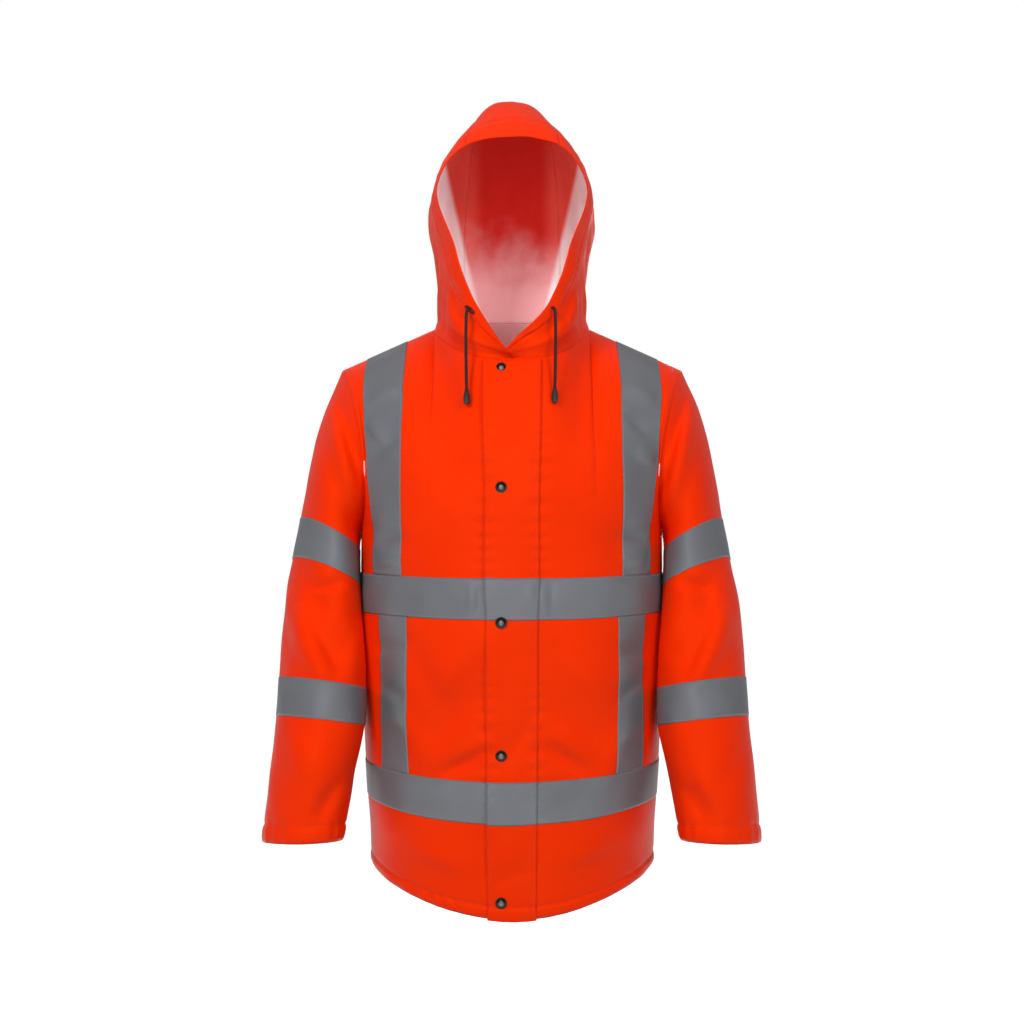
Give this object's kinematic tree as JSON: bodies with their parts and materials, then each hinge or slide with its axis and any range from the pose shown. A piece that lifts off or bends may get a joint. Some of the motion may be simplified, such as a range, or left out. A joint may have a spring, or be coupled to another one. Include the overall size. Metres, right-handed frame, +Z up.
{
  "type": "hi-vis work jacket",
  "caption": "Hip-length hooded high-visibility work jacket with storm flap, snap caps, drawcord and reflective tape, hollow and filled out as if worn.",
  "frame": {"origin": "midway between the two points where the shoulder seams meet the neck seam, where the wearer holds the jacket up", "axes": "+Z up, from hem to hood, +X to the wearer's left, the front faces -Y"},
  "size_m": [0.6122, 0.3131, 1.019],
  "materials": {
    "shell_cloth": "coated fluorescent orange-red cloth, smooth with a soft sheen",
    "reflective_tape": "grey glass-bead reflective tape, silvery where it faces the light",
    "snap_metal": "dark gunmetal",
    "drawcord": "braided, near black",
    "cord_end": "moulded, satin",
    "buttonhole_thread": "dark worked thread"
  },
  "bodies": {
    "root": {"back": "shell_cloth", "buttonhole_left": "buttonhole_thread", "buttonhole_right": "buttonhole_thread", "cord_end_left": "cord_end", "cord_end_right": "cord_end", "drawcord_left": "drawcord", "drawcord_right": "drawcord", "front_left": "shell_cloth", "front_right": "shell_cloth", "hem_tape_back": "reflective_tape", "hem_tape_flap": "reflective_tape", "hem_tape_front_left": "reflective_tape", "hem_tape_front_right": "reflective_tape", "hood_centre": "shell_cloth", "hood_left": "shell_cloth", "hood_right": "shell_cloth", "low_tape_back_left": "reflective_tape", "low_tape_back_right": "reflective_tape", "low_tape_front_left": "reflective_tape", "low_tape_front_right": "reflective_tape", "shoulder_tape_left": "reflective_tape", "shoulder_tape_right": "reflective_tape", "sleeve_left": "shell_cloth", "sleeve_right": "shell_cloth", "sleeve_tape_lower_left": "reflective_tape", "sleeve_tape_lower_right": "reflective_tape", "sleeve_tape_upper_left": "reflective_tape", "sleeve_tape_upper_right": "reflective_tape", "snap_1": "snap_metal", "snap_2": "snap_metal", "snap_3": "snap_metal", "snap_4": "snap_metal", "snap_5": "snap_metal", "storm_flap": "shell_cloth", "waist_tape_back": "reflective_tape", "waist_tape_flap": "reflective_tape", "waist_tape_front_left": "reflective_tape", "waist_tape_front_right": "reflective_tape"}
  },
  "joints": []
}
